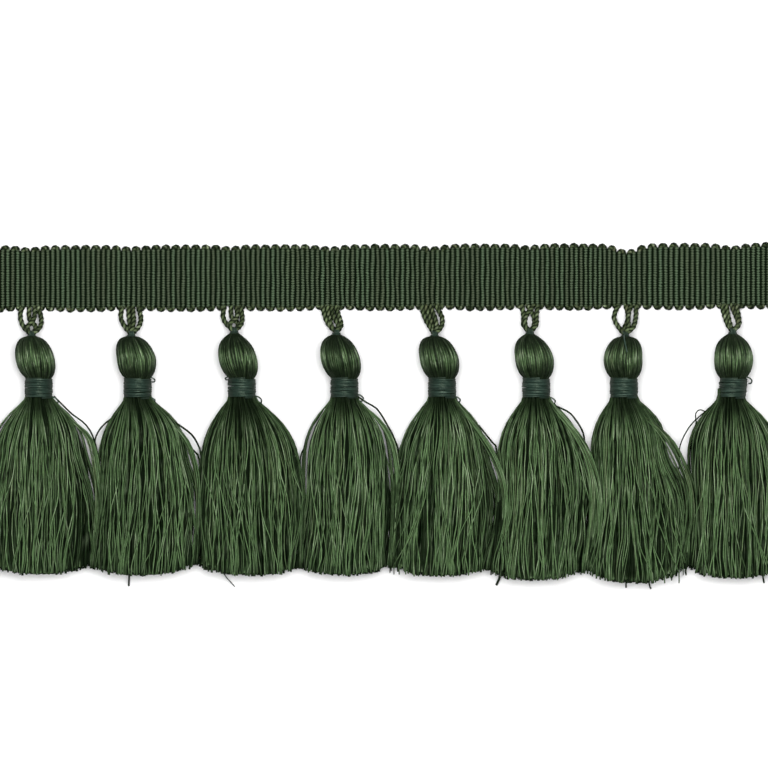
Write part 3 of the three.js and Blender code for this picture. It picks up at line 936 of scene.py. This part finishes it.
# %% Binding
BINDING_TURNS = 12
BINDING_RADIUS = 3.45
BINDING_THREAD, OVER_THREAD, END_THREAD = 0.235, 0.17, 0.2
BINDING_START = 1.3  # the angle where it starts, in radians
OVER_TURNS = ((-26.2, -26.9), (-28.9, -28.2))
ThreadEnd = namedtuple("ThreadEnd", "tassel side y reach")
THREAD_ENDS = (
    ThreadEnd(1, 1, -30.2, 1.3), ThreadEnd(2, 1, -25.3, 0.8), ThreadEnd(2, 1, -30.3, 0.8),
    ThreadEnd(3, -1, -25.0, 0.6), ThreadEnd(3, 1, -30.0, 1.4), ThreadEnd(4, 1, -29.6, 1.2),
    ThreadEnd(5, 1, -30.1, 1.0), ThreadEnd(6, 1, -30.3, 1.2), ThreadEnd(8, 1, -25.2, 1.2),
)
# A long end of the seventh tie lies down over its head, along this line.
LONG_END = 7
LONG_END_LINE = (
    (60.9, -14.4, 5.4), (60.8, -15.2, 7.6), (61, -16.6, 8.75), (61.3, -18, 9.3), (61.5, -18.8, 9.35),
)


# %% Thread of the binding
def painted_turning_shade(angle):
    """Painted shade on a thread round the neck, darker where it turns away at the sides."""
    return 0.75 * np.abs(np.cos(angle)) ** 2.4


def binding_line(tassel, seeded):
    share = np.linspace(0, 1, 24 * BINDING_TURNS + 1)
    angle = 2 * np.pi * BINDING_TURNS * share + BINDING_START
    wobble = np.interp(share, np.linspace(0, 1, 40), seeded.standard_normal(40))
    radius = BINDING_RADIUS - BINDING_THREAD + 0.12 * np.sin(np.pi * share) + 0.035 * wobble
    y = mix(BINDING_TOP_Y - 0.2, BINDING_BOTTOM_Y + 0.2, share) + 0.06 * np.roll(wobble, 9)
    middle = columns(tassel.neck + tassel.lean * (share - 0.5), y, NECK_MIDDLE_Z)
    # Painted shade at the sides of each turn and along both rims of the binding.
    painted_rim_shade = as_share(np.abs(2 * share - 1) * 6 - 5)
    lot, dim = 0.3 + 0.5 * seeded.random(), np.maximum(painted_turning_shade(angle), 0.5 * painted_rim_shade)
    return Strand(middle + radius[:, None] * spoke(angle), BINDING_THREAD, lot, dim, spoke(angle))


def over_turns(tassel, seeded):
    """The last turns, which cross the even ones at a slant, each from one level to another."""
    strands = []
    for start, end in OVER_TURNS:
        angle = np.linspace(-0.5 * np.pi, 1.5 * np.pi, 36)
        middle = columns(tassel.neck, mix(start, end, (1 - np.cos(angle - angle[0])) / 2), NECK_MIDDLE_Z)
        points = middle + (BINDING_RADIUS - 0.02) * spoke(angle)
        lot = 0.3 + 0.5 * seeded.random()
        strands.append(Strand(points, OVER_THREAD, lot, painted_turning_shade(angle), spoke(angle)))
    return strands


def thread_end(tassel, end, seeded):
    """A short end of the thread that stands out at the side and curls back in."""
    root, reach = tassel.neck + end.side * (BINDING_RADIUS - 0.3), end.reach
    curl = ((0, 0.3, 0.8), (0.75 * reach, 0, 0.9), (0.35 + reach, -0.5 * reach, 0.7),
            (0.2 + reach, -1.1 * reach, 0.3), (0.9 * reach - 0.3, -1.2 * reach, 0))
    knots = [(root + end.side * out, end.y + along, NECK_MIDDLE_Z + up) for out, along, up in curl]
    return Strand(smooth_line(knots, 14), END_THREAD, seeded.random())


# %% Ties and bindings
seeded = np.random.default_rng(43)
for number, (tassel, plan) in enumerate(zip(TASSELS, LOOPS), 1):
    tied = tie_strands(tassel, plan.tie_y, seeded)
    if number == LONG_END:
        tied.append(Strand(smooth_line(LONG_END_LINE, 16), OVER_THREAD, 1.0))
    tie = spin_yarn(f"tie_thread_{number}", tied, 6)
    fix(tie, binding_thread, [f"tie_{number}"])
    wound = [binding_line(tassel, seeded), *over_turns(tassel, seeded)]
    wound += [thread_end(tassel, end, seeded) for end in THREAD_ENDS if end.tassel == number]
    binding = spin_yarn(f"binding_thread_{number}", wound, 6)
    fix(binding, binding_thread, [f"binding_{number}"])

# %% [markdown]
# ## The skirts
#
# Below the binding the floss hangs loose. It opens into a bell that lies on the table, round at the
# neck and flat at the hem. Each yarn keeps its place in the bell by two numbers: how far across it
# lies, from -1 to 1, and how deep it lies under the face. On the way down the yarns drift, wave and
# draw together into small locks, which leave dark wedges between them. The layers near the face have
# more yarns than the back, and short lengths fill the hem. Painted shade darkens the deeper layers,
# the yarns just under the binding, at the seams and at the cut ends, and a dark heart inside the bell
# stands in for the shade among the yarns.

# %% Sizes of the skirts
FLARE_LENGTH = 8.7
ROOT_RADIUS = 3.0
SKIRT_THICKNESS, HEM_THICKNESS = 7.6, 6.4
ROOT_SINK = 9.0
ABOVE_BINDING = 2.5  # the yarns start this far up inside the binding
YARN_POINTS = 22

# How far the hem rises at a skirt's left and right side, how far down from the binding the painted
# shade under it reaches, and how dark the painted shade at the sides is.
Hem = namedtuple("Hem", "left right shade dark_left dark_right")
HEMS = (
    Hem(2.4, 2.4, 4, 0.3, 0.5), Hem(2, 3, 4.5, 0.4, 0.4), Hem(3, 2, 7.5, 0.7, 0.2),
    Hem(2, 2.5, 4.2, 0.5, 0.3), Hem(2.5, 1.8, 4, 0.7, 0.3), Hem(2.8, 2.4, 4, 0.5, 0.2),
    Hem(4, 4, 5, 0.5, 0.3), Hem(3.6, 2, 5, 0.8, 0.2),
)

# How far a skirt's left and right sides bulge out halfway down, or, below zero, are pushed in by the
# neighbour, and how far the right side is drawn in under a loose lock.
Sides = namedtuple("Sides", "left right tuck")
SIDES = (
    Sides(0, 1.2, 1.6), Sides(-0.8, 0.6, 2), Sides(-0.3, 1.2, 0), Sides(-0.9, 0, 0.7), Sides(0.2, 2.4, 1.2),
    Sides(-2.2, 3.2, 0), Sides(-3, 2.2, 3.5), Sides(-2, 0, 0),
)


# %% The bell
def bell_at(tassel, below):
    """The middle, half width, thickness and underside of the skirt at distances below the binding,
    and how far it has opened, from 0 to 1."""
    below = np.maximum(below, 0)
    share = below / (BINDING_BOTTOM_Y - tassel.hem_y)
    left, right = mix(tassel.left, tassel.hem_left, share), mix(tassel.right, tassel.hem_right, share)
    opened = np.tanh(below / FLARE_LENGTH)
    middle = mix(tassel.neck + tassel.lean, (left + right) / 2, opened)
    half_width = mix(ROOT_RADIUS + 0.3, (right - left) / 2 + 0.25, opened)
    body = mix(SKIRT_THICKNESS, HEM_THICKNESS, share)
    thickness = mix(2 * ROOT_RADIUS, body, np.tanh(2 * below / FLARE_LENGTH))
    bottom = mix(NECK_MIDDLE_Z - ROOT_RADIUS, 0, np.minimum(1, below / ROOT_SINK))
    return middle, half_width, thickness, bottom, opened


def swayed(tassel, below, share):
    """How far a yarn is moved sideways, when it lies at this share of the half width, -1 to 1."""
    sides, bulge = SIDES[TASSELS.index(tassel)], bell(below - 26, 9)
    to_right = sides.right * bulge - sides.tuck * bell(below - 14, 5)
    return np.where(share > 0, to_right, -sides.left * bulge) * share**2


def yarn_length(tassel, hem, across):
    rise = np.where(across < 0, hem.left, hem.right) * np.abs(across) ** 2.6
    return BINDING_BOTTOM_Y - tassel.hem_y - 0.2 - rise


# %% Layers of yarns
# yarns: how many. face: 1 above and -1 below. depth: how far under the surface. drift, wave: how far
# they stray sideways. thick: radius. lot: how light they are, lower for the deeper layers as painted
# shade.
Layer = namedtuple("Layer", "yarns face depth drift wave thick lot")
LAYERS = (
    Layer(38, 1, 1.9, 0.3, 0.1, 0.34, 0),
    Layer(50, 1, 1.35, 0.7, 0.12, 0.25, 0.05),
    Layer(46, 1, 0.85, 1.1, 0.16, 0.2, 0.15),
    Layer(44, 1, 0.3, 1.5, 0.2, 0.175, 0.7),
    Layer(12, 1, -0.05, 2.6, 0.3, 0.16, 0.85),
)
BACK_LAYERS = (
    Layer(38, -1, 0.5, 0.8, 0.2, 0.34, 0.25),
    Layer(34, -1, 0.1, 1.2, 0.25, 0.26, 0.6),
)
print(sum(layer.yarns for layer in LAYERS + BACK_LAYERS), "yarns in the layers of each skirt")


# %% How a yarn strays
def slow_wave(seeded, below, shortest):
    """Two waves of random length and start, between -1 and 1."""
    stretched = [(below / (shortest * (1 + 1.6 * seeded.random())), seeded.random()) for _ in range(2)]
    return sum(0.5 * np.sin(place + FULL_TURN * start) for place, start in stretched)


def lock_pull(across, down, phases):
    """How far yarns at a place are drawn sideways into locks, in millimetres."""
    waves = ((1.9, 0.10, 0.30), (1.1, 0.055, 0.42), (3.1, 0.16, 0.14))
    return sum(size * np.sin(across * kx + down * ky + p) for (kx, ky, size), p in zip(waves, phases))


def painted_seam_shade(hem, across):
    """How much painted shade darkens the yarns towards the left and the right side."""
    return np.where(across < 0, hem.dark_left, hem.dark_right) * as_share(3.2 * np.abs(across) - 2.2)


# %% One yarn of the skirt
def skirt_yarn(tassel, hem, layer, across, lock, phases, seeded):
    length = yarn_length(tassel, hem, across) + 0.22 * seeded.standard_normal()
    share = np.linspace(0, 1, YARN_POINTS) ** 1.12
    below = mix(-ABOVE_BINDING, length, share)
    middle, half_width, thickness, bottom, opened = bell_at(tassel, below)
    depth = layer.depth + 0.14 * seeded.standard_normal()
    half_width = half_width - 0.5 * max(depth, 0) - 0.6 * layer.thick
    thickness = thickness - 2 * (depth + layer.thick)
    bottom = bottom + depth + layer.thick

    root = np.clip(across + 0.12 * seeded.standard_normal(), -1, 1)
    flare = FLARE_LENGTH * (1 + 1.1 * (1 - abs(across)))
    fanned = np.tanh(np.maximum(below, 0) / flare) / np.tanh(length / flare)
    full_width = mix(half_width[0], (tassel.hem_right - tassel.hem_left) / 2 - 0.3, fanned)
    x = mix(np.sin(root * np.pi / 2), across, fanned) * np.minimum(full_width, half_width)
    loose = as_share(share * 1.8 - 0.7)
    strayed = 0.8 * lock[0] + 0.5 * seeded.standard_normal() + 0.4 * np.sin(below / 6.5 + 9 * lock[1])
    x = x + layer.drift * strayed * loose**1.3 + lock_pull(x, below, phases) * loose
    waved = 1.2 * layer.wave * slow_wave(seeded, below, 1.4)
    waved = waved + 0.3 * layer.drift * slow_wave(seeded, below, 5.0)
    x = x + waved * opened + 0.04 * seeded.standard_normal(YARN_POINTS) * opened
    edge = half_width + 0.35 * opened * seeded.random()
    x = np.clip(x, -edge, edge)
    aside = as_share(np.abs(x) / (half_width + 0.01))
    up = mix(np.cos(root * np.pi / 2), (1 - aside**3) ** (1 / 3), opened)
    z = bottom + thickness * (0.5 + 0.5 * layer.face * up) + 0.2 * opened * slow_wave(seeded, below, 2.2)

    thick = layer.thick * mix(0.7, 1.0, opened) * (1 + 0.12 * seeded.standard_normal())
    placed = middle + x + swayed(tassel, below, x / half_width)
    points = columns(placed, BINDING_BOTTOM_Y - below, np.maximum(z, thick + 0.02))
    # Painted shade under the binding, strongest in the middle of the neck.
    painted_binding_shade = np.exp(-((np.maximum(below, 0) / (hem.shade + 1)) ** 2)) * (1 - 0.7 * root**2)
    # Painted shade towards each yarn's cut end.
    painted_end_shade = as_share(1 - (length - below) / 1.8)
    dim = np.clip(1.1 * painted_binding_shade + 0.4 * painted_end_shade + painted_seam_shade(hem, x / half_width) * opened, 0, 0.92)
    out = columns(x / half_width**2, 0, 2 * layer.face * up / thickness)
    lot = as_share(layer.lot + 0.17 * seeded.standard_normal())
    return Strand(points, thick, lot, dim, out)


# %% The yarns, layer by layer
def skirt_yarns(tassel, hem, layers, seeded):
    phases = seeded.random(3) * FULL_TURN
    strands = []
    for layer in layers:
        for number in range(layer.yarns):
            if number % 5 == 0:
                lock = seeded.standard_normal(2)
            across = (number + 0.5 + 0.8 * (seeded.random() - 0.5)) / layer.yarns * 2 - 1
            strands.append(skirt_yarn(tassel, hem, layer, across, lock, phases, seeded))
    return strands


# %% The yarns along the sides
SIDE_YARNS, SIDE_THICK = 16, 0.25


def side_yarns(tassel, hem, seeded):
    """Low yarns at both sides, which spread a little over the table towards the next skirt."""
    strands = []
    for side in (-1, 1):
        for number in range(SIDE_YARNS):
            length = yarn_length(tassel, hem, side * 0.97) + 0.5 * seeded.random()
            share = np.linspace(0, 1, YARN_POINTS)
            below = mix(-ABOVE_BINDING, length, share)
            middle, half_width, _, bottom, opened = bell_at(tassel, below)
            spread = 0.75 * seeded.random() * as_share(share * 3 - 0.8)
            x = side * (half_width - 0.35 + spread) + 0.25 * slow_wave(seeded, below, 3.0) * opened
            height = mix(NECK_MIDDLE_Z, 0.5 + 3.6 * number / SIDE_YARNS, opened)
            z = np.maximum(height + 0.3 * slow_wave(seeded, below, 2.5) * opened, 0.36)
            # Painted shade at the cut end and at the seam.
            painted_end_shade = as_share(1 - (length - below) / 0.8)
            dim = np.clip(0.6 * painted_end_shade + painted_seam_shade(hem, side) * opened, 0, 0.9)
            placed = middle + x + swayed(tassel, below, x / half_width)
            points = columns(placed, BINDING_BOTTOM_Y - below, z)
            thick, lot = SIDE_THICK * mix(0.7, 1, opened), 0.2 + 0.7 * seeded.random()
            strands.append(Strand(points, thick, lot, dim, (side, 0, 1.2)))
    return strands


# %% Loose locks
# Yarns that hang together outside the body of a skirt, how widely, how high above the table their
# middle part lies, and the line that they follow, in x and y.
Lock = namedtuple("Lock", "tassel yarns spread high line")
LOCKS = (
    Lock(1, 8, 0.75, 5.2, (
        (-83.2, -29), (-81, -31.3), (-76.9, -36), (-73.3, -39.3), (-71.7, -43.2), (-70.9, -48.2),
        (-70.3, -55), (-70.8, -63), (-71.9, -72.4),
    )),
    Lock(2, 8, 0.65, 5.2, (
        (-58.4, -29), (-56.6, -32.6), (-52.1, -36.7), (-49.1, -40), (-47.2, -43.6), (-45.9, -48.6),
        (-45.3, -55), (-45.5, -63), (-46.3, -71.4),
    )),
    Lock(4, 8, 0.7, 5.2, (
        (-6.8, -29), (-5.2, -31.6), (-2, -34.2), (0.7, -37.3), (2.7, -41), (3.9, -46.1),
        (4.5, -52.2), (4.2, -61), (3.2, -72.5),
    )),
    Lock(5, 9, 0.8, 6.6, (
        (17.6, -29), (19.8, -32.4), (23.2, -37), (27.4, -43.4), (30.2, -50.2), (31.2, -56.5),
        (31, -64), (29.6, -73.4),
    )),
    Lock(6, 14, 1.5, 7.4, (
        (41, -29), (43.6, -33), (48.5, -39.2), (51.6, -44.8), (53.3, -50.4), (53.9, -57),
        (53.4, -65), (51.9, -73.2),
    )),
    Lock(7, 14, 1.3, 7, (
        (62.8, -29), (65.2, -34), (68.6, -37.2), (72.3, -41.4), (74.9, -46.4), (76.9, -52.2),
        (77.4, -58.6), (76.6, -66), (76.2, -71.8),
    )),
)
LOCK_THICK = 0.22


def lock_strands(lock, seeded):
    strands = []
    line = smooth_line([(x, y, 0) for x, y in lock.line], YARN_POINTS)
    share = np.linspace(0, 1, YARN_POINTS)
    opened = as_share(3 * share)
    for number in range(lock.yarns):
        beside, above = mix(-1, 1, (number + 0.5) / lock.yarns), seeded.random()
        x = line[:, 0] + lock.spread * (beside * opened + 0.35 * slow_wave(seeded, 40 * share, 3.0) * opened)
        height = mix(4.4, lock.high, np.sin(np.pi * share) ** 0.7) - 1.6 * share**2
        z = height + 0.8 * (above - 0.5) * opened
        y = line[:, 1] + 0.4 * (seeded.random() - 0.5) * share
        # Painted shade where the lock comes out from under the binding and at its cut end.
        dim = np.clip(0.7 * np.exp(-((share / 0.12) ** 2)) + 0.5 * as_share(share * 20 - 19), 0, 0.9)
        thick, lot = LOCK_THICK * mix(0.8, 1, opened), 0.3 + 0.5 * seeded.random()
        strands.append(Strand(columns(x, y, z), thick, lot, dim, (0.5 * beside, 0, 1)))
    return strands


# %% Strays
Stray = namedtuple("Stray", "tassel thick knots")
STRAYS = (
    Stray(1, 0.2, (
        (-81.5, -29.8, 4.5), (-79.3, -32, 4.8), (-76.9, -34.3, 4.8), (-74.3, -36.2, 4.4),
        (-72.6, -38.2, 3.8), (-71.4, -41, 3.2), (-70.6, -44.8, 2.8), (-70.5, -52, 2.6),
    )),
    Stray(2, 0.2, (
        (-66, -34.6, 3.6), (-68, -36, 3.6), (-69.8, -37.7, 3.4), (-71, -39.8, 3), (-71.4, -42, 2.8),
        (-71.6, -48, 2.6),
    )),
    Stray(2, 0.24, (
        (-56.5, -31, 4.6), (-54.1, -34, 4.8), (-51.4, -36.2, 4.6), (-49.1, -37.8, 4.2),
        (-47.1, -39.4, 3.8), (-45.8, -41.4, 3.4), (-44.9, -44, 3), (-44.6, -50, 2.8),
    )),
    Stray(2, 0.24, (
        (-55, -33, 4.4), (-51.7, -37.1, 4.4), (-49.1, -40.4, 4), (-47.1, -43, 3.6),
        (-45.5, -44.7, 3.2), (-44.9, -49, 3),
    )),
    Stray(4, 0.22, (
        (-5.8, -29.8, 4.5), (-3.1, -31.6, 4.8), (-1.2, -32.6, 4.8), (0.4, -34.7, 4.6),
        (1.7, -37, 4.2), (3.1, -39.5, 3.6), (4.5, -43.6, 3), (4.9, -50, 2.8),
    )),
    Stray(4, 0.2, (
        (-14.2, -33, 4), (-15.6, -35.3, 3.8), (-17.2, -37.6, 3.5), (-18.3, -39.9, 3.2),
        (-18.9, -42.4, 3), (-19.9, -44.8, 2.8), (-20.2, -49, 2.6),
    )),
    Stray(5, 0.22, (
        (24.5, -37, 4), (27.2, -40.4, 3.8), (28.2, -41.6, 3.6), (28.9, -42.6, 3.2),
        (29.3, -48, 2.8),
    )),
    Stray(6, 0.22, (
        (41.5, -30.6, 4.4), (43.2, -32, 4.8), (45.1, -32.8, 4.8), (47.3, -34, 4.6),
        (48.9, -35.9, 4.2), (50.2, -38, 3.8), (50.9, -40.4, 3.2), (51, -46, 2.8),
    )),
    Stray(8, 0.16, (
        (84.2, -30.8, 4.4), (81.1, -33.6, 4.4), (78.2, -36.2, 4), (76.2, -39, 3.6),
        (74.7, -42.8, 3), (74.6, -48, 2.6),
    )),
    Stray(8, 0.15, (
        (81.1, -33.6, 4.6), (79.6, -33.2, 4.9), (78.7, -34.2, 4.8), (78.8, -36.2, 4.2),
        (78.6, -37.2, 3.8),
    )),
    Stray(2, 0.24, ((-62.5, -70, 5.5), (-62.7, -74, 3.2), (-62.9, -77.2, 0.4))),
    Stray(3, 0.12, ((-40.2, -72, 5), (-38.8, -74.6, 2.4), (-36.4, -77.4, 0.25))),
    Stray(6, 0.3, ((30.4, -72, 3), (29.8, -75, 1.6), (29, -77, 0.5))),
    Stray(7, 0.2, ((61.6, -73, 5), (61.4, -76.4, 2), (61.4, -77.6, 0.4))),
    Stray(7, 0.2, ((66.8, -74, 5), (67.2, -76.8, 2), (67.6, -77.9, 0.4))),
    Stray(8, 0.22, ((95.2, -72, 4), (95.6, -75, 1.8), (95.9, -76.4, 0.4))),
)


# %% The hem's filling
# Where along its length a yarn of the filling has its points, and how much painted shade darkens it
# at each: only its cut end is light.
FILL_YARNS, FILL_THICK = 150, 0.34
FILL_PLACES = np.array((0.6, 0.75, 0.9, 0.96, 0.985, 1))
FILL_PAINTED_SHADE = np.array((0.95, 0.95, 0.95, 0.95, 0.7, 0.1))


def hem_fill(tassel, hem, seeded):
    strands = []
    for _ in range(FILL_YARNS):
        across, up = 1.86 * seeded.random() - 0.93, seeded.random()
        length = yarn_length(tassel, hem, across) - 0.45 + 0.25 * seeded.standard_normal()
        below = length * FILL_PLACES
        middle, half_width, thickness, bottom, _ = bell_at(tassel, below)
        rise = (1 - abs(across) ** 3) ** (1 / 3)
        x = across * (half_width - 1) + 0.3 * np.sin(below / 3 + FULL_TURN * seeded.random())
        z = bottom + 0.9 + (thickness - 1.8) * (0.5 + rise * (up - 0.5))
        points = columns(middle + x, BINDING_BOTTOM_Y - below, z)
        strands.append(Strand(points, FILL_THICK, 0.35 + 0.6 * seeded.random(), FILL_PAINTED_SHADE))
    return strands


# %% The heart of the bell
def bell_heart(tassel, name):
    """A dark close-packed heart inside the yarns, which stands in as painted shade among them: a tube that
    is opened and flattened like the bell.
    """
    rows, around = 18, 24
    bpy.ops.object.select_all(action="DESELECT")
    bpy.ops.mesh.primitive_cylinder_add(vertices=around, radius=MM, depth=2 * MM, rotation=(np.pi / 2, 0, 0))
    heart = bpy.context.object
    heart.name = name
    bpy.ops.object.transform_apply()
    cut_across(1 - 2 * np.arange(1, rows) / rows)
    tube = points_of(heart)
    below = mix(-1.0, BINDING_BOTTOM_Y - tassel.hem_y - 3.4, (1 - tube[:, 1]) / 2)
    middle, half_width, thickness, bottom, opened = bell_at(tassel, below)
    across, up = (np.sign(tube[:, i]) * np.abs(tube[:, i]) ** mix(1.0, 0.72, opened) for i in (0, 2))
    points = columns(
        middle + across * (half_width - mix(1.2, 2.3, opened)) + swayed(tassel, below, across),
        BINDING_BOTTOM_Y - below + 0.8 * across**2 * opened,
        bottom + thickness / 2 + up * (thickness / 2 - mix(0.9, 1.6, opened)),
    )
    set_points(heart, points)
    bpy.ops.object.shade_smooth()
    set_values(heart, lot=0, reach=0, dim=0.9, around=0)
    return heart


# %% Skirts
seeded = np.random.default_rng(59)
for number, (tassel, hem) in enumerate(zip(TASSELS, HEMS), 1):
    strands = skirt_yarns(tassel, hem, LAYERS, seeded) + side_yarns(tassel, hem, seeded)
    for lock in LOCKS:
        if lock.tassel == number:
            strands += lock_strands(lock, seeded)
    for stray in STRAYS:
        if stray.tassel == number:
            # Strays are dark: a low lot and painted shade.
            strands.append(Strand(smooth_line(stray.knots, 18), stray.thick, 0.1, 0.55))
    skirt = spin_yarn(f"skirt_{number}", strands, 4)
    under = spin_yarn(f"under_{number}", skirt_yarns(tassel, hem, BACK_LAYERS, seeded), 4)
    fill = spin_yarn(f"fill_{number}", hem_fill(tassel, hem, seeded), 4)
    # Only the cut ends of the filling show, so its yarns are as light as a crest all round, with no painted
    # shade on their sides.
    around = fill.data.attributes["around"].data
    around.foreach_set("value", np.full(len(around), 0.5))
    skirt = joined(skirt, under, fill, bell_heart(tassel, f"heart_{number}"))
    fix(skirt, skirt_floss, [f"tassel_{number}"])

# %% [markdown]
# ## The end
#
# The heading is the only sheet of cloth here: it lies flat on the table, and everything else hangs
# from it. The loops are short bights of the heading's own cord, held at both ends, so they aren't
# free cords. At the end the script counts the triangles.

# %% The end
others = [piece for piece in bpy.data.objects if piece.name in counted and piece != heading]
print("triangles in all:", sum(counted.values()), "most in a piece:", max(counted.values()))
